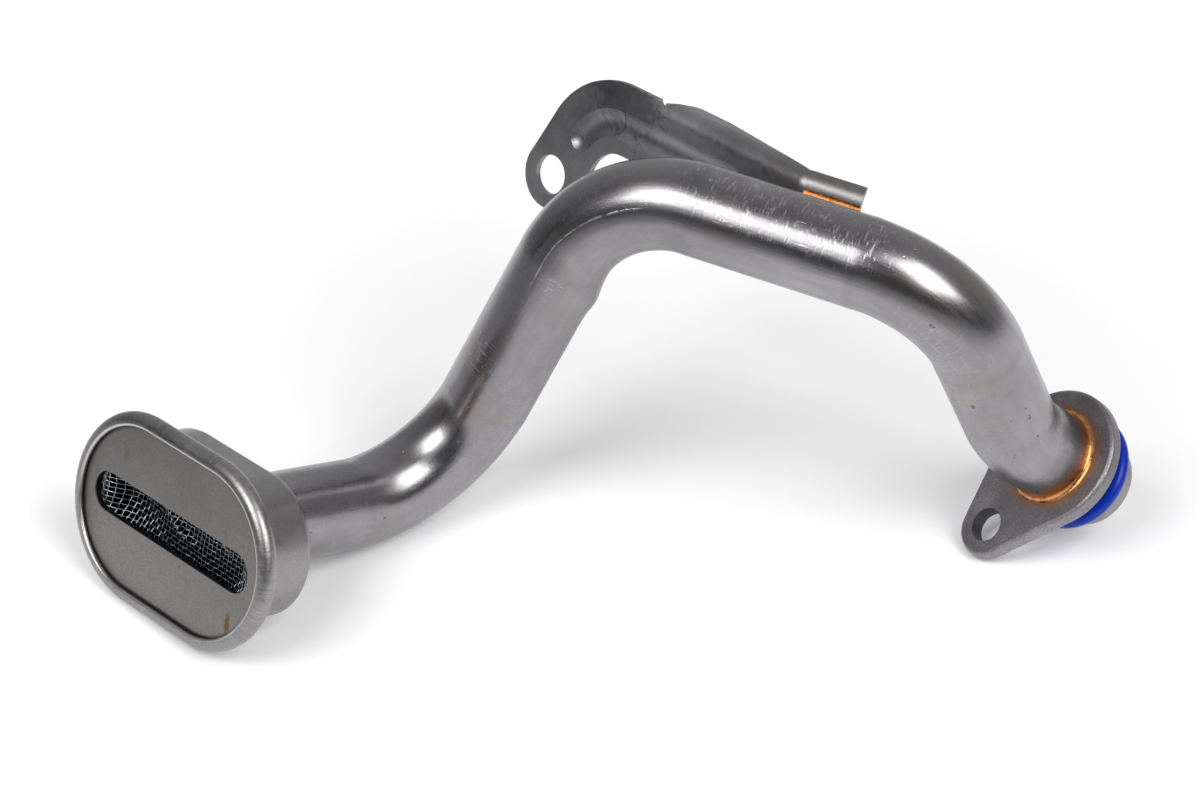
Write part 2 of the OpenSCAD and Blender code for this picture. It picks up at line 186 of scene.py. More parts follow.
class PickupFinish(PropertyGroup):
    """Colours of the finishes"""

    tube: colour("Tube", "Bare steel of the tube", (0.295, 0.285, 0.298))
    tan: colour("Tan", "Straw tint on the tube and the bracket", (0.33, 0.285, 0.225))
    strainer: colour("Strainer", "Pressed steel of the strainer's cup", (0.32, 0.312, 0.31))
    cover: colour("Cover", "Dull steel of the cover", (0.275, 0.264, 0.254))
    # Painted shade inside the cup, on the slot's wall and on the cover's border
    painted_shade: colour("Shade", "Dark inside of the strainer", (0.022, 0.024, 0.027))
    stain: colour("Stain", "Brown stain on the cover", (0.17, 0.108, 0.032))
    dull_wire: colour("Dull wire", "Darker stretches of the screen's wire", (0.36, 0.42, 0.45))
    bright_wire: colour("Bright wire", "Brighter stretches of the screen's wire", (0.62, 0.7, 0.74))
    flange: colour("Flange", "Grainy steel of the flange", (0.3, 0.285, 0.3))
    bracket: colour("Bracket", "Stamped steel of the bracket", (0.29, 0.286, 0.3))
    braze: colour("Braze", "Copper of the braze", (0.78, 0.36, 0.14))
    dull_braze: colour("Dull braze", "Browned copper under the bracket", (0.45, 0.17, 0.05))
    halo: colour("Halo", "Copper stain beside the braze", (0.46, 0.21, 0.09))
    ring: colour("Ring", "Blue rubber", (0.001, 0.028, 0.38))


class PickupStage(PropertyGroup):
    """Camera, floor and light"""

    camera_at: lengths("Camera", "Where the camera stands", (-11.6, -689.65, 526.04))
    camera_turn: angles("Camera turn", "How the camera is turned", (54.665, -1.086, -0.017))
    lens: number("Lens", "Focal length in millimetres", 104.73)
    sensor: number("Sensor", "Width of the camera's sensor in millimetres", 36)
    clip: length("Clip", "Nearest distance that the camera sees", 10)
    floor: colour("Floor", "Pale floor", (0.93, 0.93, 0.94))
    far_floor: colour("Far floor", "Floor beyond the pale board", (0.36, 0.36, 0.365))
    floor_size: length("Floor size", "Side of the floor", 8000)
    board_front: length("Board front", "Distance of the pale board's front edge", 125)
    board_left: length("Board left", "Distance of the pale board's left edge", 184)
    board_splay: number("Board splay", "How the board's left edge spreads towards the back", 0.143)
    board_fade: length("Board fade", "Width of the board's soft edge", 150)
    lift: number("Floor lift", "Glow that the camera and mirrors see on the floor", 0.1)
    far_lift: number("Far floor lift", "Glow that the camera and mirrors see further out", 0.32)
    lift_at: lengths("Lift middle", "Middle of the floor's plain part", (30, 0, 0))
    lift_near: length("Lift near", "Distance at which the glow starts to grow", 140)
    lift_far: length("Lift far", "Distance at which the glow is full", 330)
    key_at: lengths("Key", "Where the right softbox hangs", (710, -750, 1080))
    key_size: length("Key size", "Side of the right softbox", 920)
    key_watts: number("Key power", "Power of the right softbox in watts", 16)
    fill_at: lengths("Fill", "Where the left softbox hangs", (-750, -680, 1100))
    fill_size: length("Fill size", "Side of the left softbox", 800)
    fill_watts: number("Fill power", "Power of the left softbox in watts", 13)
    room: number("Room", "Mean brightness of the room", 0.13)
    room_right: number("Room right", "How the room grows brighter to the right", 0.08)
    room_back: number("Room back", "How the room grows brighter to the back", 0.36)
    room_up: number("Room up", "How the room grows brighter upwards", 0.14)
    room_least: number("Room least", "Brightness of the room's darkest side", 0.03)


# Places


def route():
    """The scene's settings for the tube's route."""
    return bpy.context.scene.pickup_route


def strainer():
    """The scene's settings for the strainer."""
    return bpy.context.scene.pickup_strainer


def mm(*millimetres):
    """A place or a size in metres."""
    return tuple(each * MM for each in millimetres)


def resting():
    """The turn and shift from the strainer's own frame to the part's frame."""
    r = route()
    turn, tip, heading = r.rest_turns
    return (
        Matrix.Translation(r.rest_shift)
        @ Matrix.Rotation(heading, 4, "Z")
        @ Matrix.Rotation(tip, 4, "X")
        @ Matrix.Rotation(turn, 4, "Z")
    )


def leg_starts():
    """A matrix for the start of each leg, with Z along the tube."""
    r = route()
    at = resting() @ Matrix.Translation(r.inlet)
    out = Matrix.Translation((r.bend_radius, 0, 0))
    starts = [at]
    for leg, bend, turn in zip(r.legs, r.bends, r.turns):
        at = at @ Matrix.Translation((0, 0, leg)) @ Matrix.Rotation(turn, 4, "Z")
        at = at @ out @ Matrix.Rotation(bend, 4, "Y") @ out.inverted()
        starts.append(at)
    return starts


def bend_spans():
    """Start and end of each bend, as lengths along the tube."""
    r = route()
    spans, run = [], 0.0
    for leg, bend in zip(r.legs, r.bends):
        start = run + leg
        run = start + bend * r.bend_radius
        spans.append((start, run))
    return spans


def flange_face():
    """A matrix for the flange's near face, with Z along the spigot."""
    r = route()
    return leg_starts()[-1] @ Matrix.Translation((0, 0, r.legs[-1] - r.spigot))


def on_tube(run, degrees):
    """A point on the straightened tube, by millimetres along it and degrees round it."""
    r = route().tube_od / 2
    return (r * cos(radians(degrees)), r * sin(radians(degrees)), run * MM)


# Pieces


def add_piece(name, mesh, material, node):
    """Makes an object of a mesh that stands for a CAD node."""
    mesh.shade_smooth()
    piece = bpy.data.objects.new(name, mesh)
    bpy.context.scene.collection.objects.link(piece)
    mesh.materials.append(material)
    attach(piece, "root")
    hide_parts(node)


def dress(node, material):
    """Gives a CAD node its material."""
    if node not in NODES:
        raise RuntimeError(f"The frame has no node {node} to dress")
    mesh = NODES[node].data
    mesh.materials.clear()
    mesh.materials.append(material)


# Materials


# Most of a noise texture lies between these two numbers
NOISE_LOW, NOISE_HIGH = 0.3, 0.7
# How fine a patch's ragged edge is, in grains per metre, and how far it strays as a share of the size
RAGGED_SCALE, RAGGED = 600.0, 0.45
# A size in millimetres along an axis that a patch takes no account of
ANY = 1000
# Half width of the seam's line where it is bright and where it ends, and its stray, in radians
SEAM_BRIGHT, SEAM_EDGE, SEAM_STRAY = 0.006, 0.024, 0.02
# Half width of the painted highlight along the lip's inner edge, where it is full and where it ends
LIP_HIGHLIGHT_FULL, LIP_HIGHLIGHT_END = mm(0.15, 0.4)
# Clusters of tool ticks on the tube: millimetres along it, degrees round it, and radius
TICKED = ((95, -68, 5), (122.5, -42, 4))
# Small straw spots on the tube, given in the same way
TANNED = ((104.6, -51.6, 0.7), (89.5, -52, 1.8))
# Brown stains on the cover, in the strainer's frame
DRIP_AT, DRIP_SIZE = mm(24.7, 12.9, 0), mm(1.05, 3.1, ANY)
SPOT_AT, SPOT_SIZE = mm(-19.4, -11.2, 0), mm(1, 2.4, ANY)
# Copper on the flange, in the flange's frame: a halo between two radii, and a splash
HALO_INNER, HALO_OUTER, HALO_STRAY = mm(11.8, 14.4, 1.2)
SPLASH_AT, SPLASH_SIZE = mm(-10, -10.5, 0), mm(3.2, 3.2, ANY)
# Copper lies only up to this distance behind the flange's near face
FLANGE_NEAR = 1.5 * MM
# How far past the bolt hole's radius the painted shade on its wall reaches
BOLT_SHADE_REACH = 0.1 * MM
# On the bracket: a dark patch beside the lip, and a straw tint round the braze
DARK_PATCH_AT, DARK_PATCH_SIZE = mm(3.5, 47.5, 92), mm(12, 12, 8)
STRAW_SIZE = mm(17, 17, 17)


class Nodes:
    """A material's node tree, with short calls to add nodes and links."""

    def __init__(self, name):
        self.material = bpy.data.materials.new(name)
        self.material.use_nodes = True
        self.tree = self.material.node_tree
        self.shader = self.tree.nodes["Principled BSDF"]

    def add(self, kind, settings=None, **inputs):
        """Adds a node, sets its options and fills or links its inputs by name."""
        node = self.tree.nodes.new("ShaderNode" + kind)
        for key, value in (settings or {}).items():
            setattr(node, key, value)
        for key, value in inputs.items():
            self.put(node.inputs[key.replace("_", " ")], value)
        return node

    def put(self, socket, value):
        """Links an output to a socket, or sets its value."""
        if isinstance(value, bpy.types.NodeSocket):
            self.tree.links.new(value, socket)
        else:
            socket.default_value = value

    def set(self, **inputs):
        """Fills the shader's inputs."""
        for key, value in inputs.items():
            self.put(self.shader.inputs[key.replace("_", " ")], value)

    def feed(self, name):
        """What is linked to one of the shader's inputs."""
        return self.shader.inputs[name].links[0].from_socket

    def place(self):
        """Object coordinates."""
        return self.add("TexCoord").outputs["Object"]

    def local(self, matrix):
        """Object coordinates carried into a piece's own frame."""
        back = matrix.inverted()
        turn, shift = back.to_euler(), back.to_translation()
        return self.add("Mapping", Vector=self.place(), Location=shift, Rotation=turn).outputs["Vector"]

    def attribute(self, name):
        """A piece's own vector attribute."""
        return self.add("Attribute", {"attribute_name": name}).outputs["Vector"]

    def split(self, vector):
        """A vector's three numbers."""
        parts = self.add("SeparateXYZ", Vector=vector).outputs
        return parts["X"], parts["Y"], parts["Z"]

    def noise(self, vector, scale, detail, rough):
        """Noise about 0.5, with a scale in grains per metre: one number, or one for each axis."""
        if isinstance(scale, tuple):
            vector = self.add("Mapping", Vector=vector, Scale=scale).outputs["Vector"]
            scale = 1.0
        return self.add("TexNoise", Vector=vector, Scale=scale, Detail=detail, Roughness=rough).outputs["Fac"]

    def ramp(self, value, low, high, to_low=0.0, to_high=1.0):
        """A number carried from one range to another, held at both ends."""
        node = self.add("MapRange")
        for socket, given in zip(node.inputs, (value, low, high, to_low, to_high)):
            self.put(socket, given)
        return node.outputs["Result"]

    def between(self, value, low, high):
        """Noise carried to a range."""
        return self.ramp(value, NOISE_LOW, NOISE_HIGH, low, high)

    def math(self, operation, a, b=0.0):
        """Arithmetic on two numbers."""
        node = self.add("Math", {"operation": operation})
        self.put(node.inputs[0], a)
        self.put(node.inputs[1], b)
        return node.outputs["Value"]

    def meet(self, first, *others):
        """Masks multiplied: 1 only where all of them are 1."""
        for other in others:
            first = self.math("MULTIPLY", first, other)
        return first

    def total(self, *parts):
        """Numbers added up, each times its own share."""
        shares = [self.math("MULTIPLY", value, share) for value, share in parts]
        added = shares[0]
        for share in shares[1:]:
            added = self.math("ADD", added, share)
        return added

    def vector(self, operation, a, b=(0, 0, 0)):
        """Arithmetic on two vectors."""
        node = self.add("VectorMath", {"operation": operation})
        self.put(node.inputs[0], a)
        self.put(node.inputs[1], b)
        return node.outputs["Value" if operation in ("DISTANCE", "DOT_PRODUCT", "LENGTH") else "Vector"]

    def mix(self, factor, a, b, share=None):
        """A blend of two colours, by a factor or a share of it."""
        if share is not None:
            factor = self.math("MULTIPLY", factor, share)
        node = self.add("Mix", {"data_type": "RGBA"})
        for socket, value in zip((node.inputs["Factor"], node.inputs[6], node.inputs[7]), (factor, a, b)):
            self.put(socket, value)
        return node.outputs[2]

    def bump(self, height, distance, strength, normal=None):
        """A bump of a height in metres, on top of another normal if one is given."""
        node = self.add("Bump", Height=height, Distance=distance, Strength=strength)
        if normal:
            self.put(node.inputs["Normal"], normal)
        return node.outputs["Normal"]

    def patch(self, at, middle, size, full, none):
        """A ragged blot round a point: 1 up to a share of its size, and 0 from a larger share on."""
        away = self.vector("LENGTH", self.vector("DIVIDE", self.vector("SUBTRACT", at, middle), size))
        stray = self.between(self.noise(at, RAGGED_SCALE, 4.0, 0.65), -RAGGED, RAGGED)
        return self.ramp(self.math("ADD", away, stray), full, none, 1.0, 0.0)

    def spine(self, at, half):
        """Distance from a line of a half length along X, seen along Z."""
        past = self.vector("SUBTRACT", self.vector("ABSOLUTE", at), (half, 0, 1))
        return self.vector("LENGTH", self.vector("MAXIMUM", past, (0, 0, 0)))


def rgba(rgb, gain=1.0):
    """A colour with alpha, made lighter or darker."""
    return (*[min(1.0, c * gain) for c in rgb], 1.0)


def worn_steel(name, rgb, rough, grain=900.0, mottle=60.0, spread=0.22, speckle=0.25):
    """Bare steel on Object coordinates: mottled tone, fine grain and dark specks."""
    n = Nodes(name)
    at = n.place()
    tone = n.noise(at, mottle, 6.0, 0.6)
    grains = n.noise(at, grain, 3.0, 0.7)
    dust = n.ramp(n.noise(at, 2600.0, 2.0, 0.6), 0.42, 0.66, 0.0, speckle)
    specks = n.ramp(n.noise(at, 420.0, 2.0, 0.5), 0.72, 0.78)
    base = n.mix(n.between(tone, 0.0, 1.0), rgba(rgb, 1 - spread), rgba(rgb, 1 + spread))
    base = n.mix(dust, base, rgba(rgb, 0.5))
    n.set(
        Base_Color=n.mix(specks, base, rgba(rgb, 0.35), share=0.55),
        Metallic=1.0,
        Roughness=n.math("ADD", n.between(tone, -0.05, 0.06), n.between(grains, rough - 0.05, rough + 0.07)),
        Normal=n.bump(grains, 0.04 * MM, 0.35),
    )
    return n


def seam_line(n, at):
    """The broken bright line of the tube's seam over the second bend."""
    r = route()
    x, y, run = n.split(at)
    turn = n.math("ARCTAN2", y, x)
    stray = n.between(n.noise(at, 90.0, 2.0, 0.5), -SEAM_STRAY, SEAM_STRAY)
    away = n.math("ABSOLUTE", n.math("ADD", n.math("SUBTRACT", turn, r.seam_turn), stray))
    line = n.ramp(away, SEAM_BRIGHT, SEAM_EDGE, 1.0, 0.0)
    stretch = n.math("ABSOLUTE", n.math("SUBTRACT", run, r.seam_at))
    stretch = n.ramp(stretch, r.seam_near, r.seam_far, 1.0, 0.0)
    breaks = n.ramp(n.noise(at, 500.0, 3.0, 0.6), 0.4, 0.55, 0.25, 1.0)
    return n.meet(line, stretch, breaks)


def tool_marks(n, at, crown):
    """Ticks across the tube and scratches along it, most of them on the worn crown."""
    worked = n.math("ADD", crown, n.ramp(n.noise(at, 38.0, 3.0, 0.5), 0.5, 0.66, 0.04, 0.35))
    for run, degrees, size in TICKED:
        cluster = n.patch(at, on_tube(run, degrees), mm(size, size, size), 0.5, 1.1)
        worked = n.math("ADD", worked, cluster)
    tick = n.ramp(n.noise(at, (380.0, 380.0, 2100.0), 2.0, 0.5), 0.56, 0.68)
    scratch = n.ramp(n.noise(at, (1300.0, 1300.0, 120.0), 2.0, 0.5), 0.64, 0.71)
    return n.meet(tick, worked), n.meet(scratch, worked)


def tube_steel(finish):
    """Drawn tube, by its own straightened coordinates: draw lines, seam, scratches, ticks and pits."""
    rgb = finish.tube
    n = Nodes("drawn_tube_steel")
    at = n.attribute("straight")
    ring, crown, copper = n.split(n.attribute("worn"))
    tone = n.noise(at, 45.0, 6.0, 0.6)
    blotch = n.noise(at, (420.0, 420.0, 70.0), 5.0, 0.6)
    draw = n.noise(at, (1400.0, 1400.0, 14.0), 3.0, 0.6)
    grain = n.noise(at, 1500.0, 2.0, 0.6)
    straw = n.ramp(n.noise(at, 70.0, 4.0, 0.6), 0.54, 0.7, 0.0, 0.45)
    pit = n.ramp(n.noise(at, 520.0, 1.0, 0.4), 0.76, 0.8)
    tick, scratch = tool_marks(n, at, crown)
    marks = n.math("MAXIMUM", tick, scratch)
    seam = seam_line(n, at)
    base = n.mix(n.ramp(tone, 0.32, 0.68), rgba(rgb, 0.8), rgba(rgb, 1.16))
    base = n.mix(n.ramp(blotch, 0.35, 0.7, 0.0, 0.4), base, rgba(rgb, 0.78))
    base = n.mix(straw, base, rgba(finish.tan))
    base = n.mix(marks, base, rgba(rgb, 2.0), share=0.7)
    for run, degrees, size in TANNED:
        spot = n.patch(at, on_tube(run, degrees), mm(size, size, size), 0.5, 1.1)
        base = n.mix(spot, base, rgba(finish.tan, 1.3), share=0.6)
    base = n.mix(seam, base, rgba(rgb, 2.3), share=0.8)
    # Painted shade, as of a groove, along the rings at the ends of the bends
    base = n.mix(ring, base, rgba(rgb, 0.5), share=0.3)
    base = n.mix(n.meet(copper, n.ramp(blotch, 0.3, 0.6, 0.5, 1.0)), base, rgba(finish.halo))
    height = n.total((draw, 0.45), (grain, 0.3), (blotch, 0.5), (pit, -1.6), (seam, 1.2), (marks, -0.55))
    n.set(
        Base_Color=n.mix(pit, base, rgba(rgb, 0.25), share=0.7),
        Metallic=1.0,
        Roughness=n.math("ADD", n.between(blotch, 0.23, 0.33), n.math("MULTIPLY", tick, 0.08)),
        Normal=n.bump(height, 0.06 * MM, 0.6),
    )
    return n.material


def along_rim(n, at):
    """Coordinates that change only along the strainer's rim, for lines across it."""
    s = strainer()
    x = n.split(at)[0]
    held = n.math("MINIMUM", n.math("MAXIMUM", x, -s.half), s.half)
    centre = n.add("CombineXYZ", X=held).outputs["Vector"]
    out = n.vector("NORMALIZE", n.vector("MULTIPLY", n.vector("SUBTRACT", at, centre), (1, 1, 0)))
    return n.vector("ADD", centre, n.vector("MULTIPLY", out, (s.edge_r,) * 3))


def cup_steel(finish):
    """Pressed cup: a painted highlight along the lip's inner edge, lines across the rim, and painted shade
    within.
    """
    s = strainer()
    n = worn_steel("pressed_cup_steel", finish.strainer, 0.35, mottle=50.0, spread=0.16)
    at = n.local(resting())
    reach, height = n.spine(at, s.half), n.split(at)[2]
    # Painted highlight: a thin bright line along the lip's inner edge, on its front only
    lip = n.math("ABSOLUTE", n.math("SUBTRACT", reach, s.lip_r + s.lip_edge))
    lip = n.meet(n.ramp(lip, LIP_HIGHLIGHT_FULL, LIP_HIGHLIGHT_END, 0.7, 0.0), n.math("LESS_THAN", height, 0.0))
    lines = n.meet(
        n.ramp(n.noise(along_rim(n, at), 1500.0, 2.0, 0.6), 0.4, 0.62),
        n.math("GREATER_THAN", reach, s.lip_r + s.rim_from),
        n.math("LESS_THAN", height, s.front),
    )
    # Painted shade inside the cup, behind the cover
    within = n.meet(
        n.math("LESS_THAN", reach, s.cup_r),
        n.math("LESS_THAN", height, s.cup_floor),
        n.math("GREATER_THAN", height, s.front),
    )
    # Lighten the lip's line as a painted highlight
    base = n.mix(lip, n.feed("Base Color"), rgba(finish.strainer, 2.0))
    base = n.mix(lines, base, rgba(finish.strainer, 0.5), share=0.35)
    n.set(
        Base_Color=n.mix(within, base, rgba(finish.painted_shade)),
        Normal=n.bump(lines, 0.03 * MM, 0.4, n.feed("Normal")),
    )
    return n.material


def cover_steel(finish):
    """Dull flat sheet with two brown stains, and painted shade on its border by the lip and on the slot's
    wall.
    """
    s = strainer()
    n = worn_steel("cover_sheet_steel", finish.cover, 0.46, 1500.0, mottle=35.0, spread=0.13, speckle=0.45)
    at = n.local(resting())
    spot = n.patch(at, SPOT_AT, SPOT_SIZE, 0.3, 1.2)
    drip = n.patch(at, DRIP_AT, DRIP_SIZE, 0.6, 1.05)
    # Painted shadow on the wall of the slot
    wall = n.meet(
        n.math("LESS_THAN", n.spine(at, s.slot_half), s.slot_r),
        n.math("GREATER_THAN", n.split(at)[2], s.burr),
    )
    # Painted shade along the cover's border, in the gap by the lip
    border = n.ramp(n.spine(at, s.half), s.lip_r - s.border, s.lip_r - s.border_full, 0.0, 0.75)
    base = n.mix(spot, n.feed("Base Color"), rgba(finish.stain), share=0.4)
    base = n.mix(drip, base, rgba(finish.stain), share=0.9)
    n.set(Base_Color=n.mix(n.math("MAXIMUM", wall, border), base, rgba(finish.painted_shade)))
    return n.material


def bolt_hole_shade(n, at):
    """Painted shade on the flange's bolt hole: 1 on its wall and 0 elsewhere."""
    hole = next(mount for mount in frame["record"]["mounts"] if mount["name"] == "flange_bolt_hole")
    middle = flange_face().inverted() @ Vector(hole["pos_m"])
    away = n.vector("MULTIPLY", n.vector("SUBTRACT", at, middle), (1, 1, 0))
    return n.math("LESS_THAN", n.vector("LENGTH", away), hole["dims"]["r_mm"] * MM + BOLT_SHADE_REACH)


def flange_steel(finish):
    """Grainy flange with painted shade in the bolt hole and copper drawn out round the tube."""
    n = worn_steel("flange_steel", finish.flange, 0.42, 1300.0, mottle=90.0, spread=0.25, speckle=0.7)
    at = n.local(flange_face())
    reach = n.vector("LENGTH", n.vector("MULTIPLY", at, (1, 1, 0)))
    stray = n.between(n.noise(at, 750.0, 4.0, 0.65), -HALO_STRAY, HALO_STRAY)
    halo = n.ramp(n.math("ADD", reach, stray), HALO_INNER, HALO_OUTER, 0.85, 0.0)
    streaks = n.ramp(n.noise(at, (260.0, 900.0, 300.0), 2.0, 0.5), 0.6, 0.66)
    splash = n.meet(streaks, n.patch(at, SPLASH_AT, SPLASH_SIZE, 0.6, 1.2))
    near = n.math("LESS_THAN", n.split(at)[2], FLANGE_NEAR)
    # Painted shade on the bolt hole's wall
    base = n.mix(bolt_hole_shade(n, at), n.feed("Base Color"), rgba(finish.flange, 0.12), share=0.8)
    n.set(
        Base_Color=n.mix(n.meet(near, n.math("MAXIMUM", halo, splash)), base, rgba(finish.halo)),
        Normal=n.bump(n.noise(at, 1500.0, 3.0, 0.7), 0.18 * MM, 0.7),
    )
    return n.material


def bracket_steel(finish):
    """Stamped bracket, darker in a patch beside the lip and straw coloured round the braze."""
    n = worn_steel("bracket_steel", finish.bracket, 0.4, mottle=40.0, spread=0.24)
    low, high = (Vector(corner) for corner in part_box("bracket_braze"))
    straw = n.patch(n.place(), (low + high) / 2, STRAW_SIZE, 0.5, 1.3)
    # A darker patch on the web beside the lip
    dark_patch = n.patch(n.place(), DARK_PATCH_AT, DARK_PATCH_SIZE, 0.6, 1.1)
    base = n.mix(straw, n.feed("Base Color"), rgba(finish.tan, 0.7), share=0.5)
    n.set(Base_Color=n.mix(dark_patch, base, rgba(finish.bracket, 0.3), share=0.6))
    return n.material


def copper_braze(name, rgb):
    """Copper that has flowed: bright, with brown where it thins."""
    n = Nodes(name)
    tone = n.noise(n.place(), 500.0, 3.0, 0.6)
    n.set(
        Base_Color=n.mix(n.ramp(tone, 0.35, 0.65), rgba(rgb, 0.55), rgba(rgb)),
        Metallic=1.0,
        Roughness=n.between(tone, 0.22, 0.4),
        Normal=n.bump(tone, 0.2 * MM, 0.5),
    )
    return n.material


def blue_rubber(rgb):
    """Smooth moulded rubber with a little dust."""
    n = Nodes("blue_rubber")
    dust = n.noise(n.place(), 700.0, 3.0, 0.6)
    n.set(
        Base_Color=n.mix(n.ramp(dust, 0.4, 0.75, 0.0, 0.25), rgba(rgb), rgba(rgb, 1.4)),
        Roughness=n.between(dust, 0.26, 0.36),
        Specular_IOR_Level=0.24,
    )
    return n.material


def screen_wire(finish):
    """Drawn wire of the screen, brighter in places."""
    n = Nodes("screen_wire")
    tone = n.noise(n.place(), 400.0, 3.0, 0.6)
    n.set(
        Base_Color=n.mix(n.between(tone, 0.0, 1.0), rgba(finish.dull_wire), rgba(finish.bright_wire)),
        Metallic=1.0,
        Roughness=0.3,
    )
    return n.material


# Tube


# Sides of the tube, and the steps along its outer and inner wall
TUBE_SIDES = 96
OUTER_STEP, INNER_STEP = 1 * MM, 3 * MM
# Steps of the rounding at the spigot's tip
TIP_STEPS = 3
# Points closer than this are one point
WELD = 0.01 * MM
# The way that the worn crown faces: up, and a little to the front
CROWN_SIDE = Vector((0, -0.45, 1)).normalized()
# How far a side faces that way where its wear starts, and how much further until it is full
CROWN_EDGE, CROWN_SPAN = 0.55, 0.4
# The higher this power, the narrower the fold before the second bend
KNEE_POWER = 4
# How fast the marks stray round the tube and, per metre, along it
STRAY_ROUND, STRAY_ALONG = 1.5, 40


def smooth(t):
    """A smooth step from 0 to 1."""
    t = min(1.0, max(0.0, t))
    return t * t * (3 - 2 * t)


def bell(t):
    """A bell curve, 1 at 0."""
    return exp(-(t**2))


def grow(bm, edges):
    """Extrudes a ring of edges and returns the new ring's vertices."""
    made = bmesh.ops.extrude_edge_only(bm, edges=edges)["geom"]
    return [item for item in made if isinstance(item, bmesh.types.BMVert)]


class Sweep:
    """Walks a ring of edges along the tube, leg by leg and bend by bend."""

    def __init__(self, bm, radius):
        self.bm = bm
        self.straight = bm.verts.layers.float_vector["straight"]
        self.at = leg_starts()[0]
        self.verts = bmesh.ops.create_circle(bm, segments=TUBE_SIDES, radius=radius, matrix=self.at)["verts"]
        self.first = self.edges()
        self.length = 0.0
        self.turned = 0.0
        self.note()

    def edges(self):
        """The edges of the ring that is being walked."""
        ring = set(self.verts)
        return list(dict.fromkeys(e for v in self.verts for e in v.link_edges if set(e.verts) <= ring))

    def note(self):
        """Notes each new vertex's place on the tube as if it were straight."""
        back = self.at.inverted()
        level = Matrix.Rotation(self.turned, 4, "Z")
        for v in self.verts:
            p = level @ (back @ v.co)
            v[self.straight] = (p.x, p.y, self.length)

    def step(self, move, length, inset=1.0):
        """Extrudes the ring, draws it in and carries it on by a matrix."""
        self.verts = grow(self.bm, self.edges())
        if inset != 1.0:
            bmesh.ops.scale(self.bm, vec=(inset, inset, 1), space=self.at.inverted(), verts=self.verts)
        bmesh.ops.transform(self.bm, matrix=move, verts=self.verts)
        self.at = move @ self.at
        self.length += length
        self.note()

    def ahead(self, span):
        """A matrix that carries the ring straight on."""
        return Matrix.Translation(self.at.to_3x3() @ Vector((0, 0, span)))

    def leg(self, span, step):
        """Walks a straight leg."""
        count = max(1, round(span / step))
        move = self.ahead(span / count)
        for _ in range(count):
            self.step(move, span / count)

    def bend(self, turn, sweep, step):
        """Walks round a bend."""
        r = route().bend_radius
        self.at = self.at @ Matrix.Rotation(turn, 4, "Z")
        self.turned += turn
        count = max(1, round(sweep * r / step))
        centre = self.at @ Vector((r, 0, 0))
        axis = self.at.to_3x3() @ Vector((0, 1, 0))
        move = Matrix.Translation(centre) @ Matrix.Rotation(sweep / count, 4, axis)
        move = move @ Matrix.Translation(-centre)
        for _ in range(count):
            self.step(move, sweep * r / count)

    def tip(self, radius, rounding):
        """Rounds the wall's edge over at the end of the walk."""
        turns = [k * pi / 2 / TIP_STEPS for k in range(TIP_STEPS + 1)]
        radii = [radius - rounding * (1 - cos(turn)) for turn in turns]
        for k in range(TIP_STEPS):
            rise = rounding * (sin(turns[k + 1]) - sin(turns[k]))
            self.step(self.ahead(rise), rise, radii[k + 1] / radii[k])


def sweep_wall(bm, radius, step, short=0.0):
    """Sweeps one wall of the tube, to its end or short of it, and returns the walk."""
    r = route()
    walk = Sweep(bm, radius)
    for leg, turn, bend in zip(r.legs, r.turns, r.bends):
        walk.leg(leg, step)
        walk.bend(turn, bend, step)
    walk.leg(r.legs[-1] - short, step)
    return walk


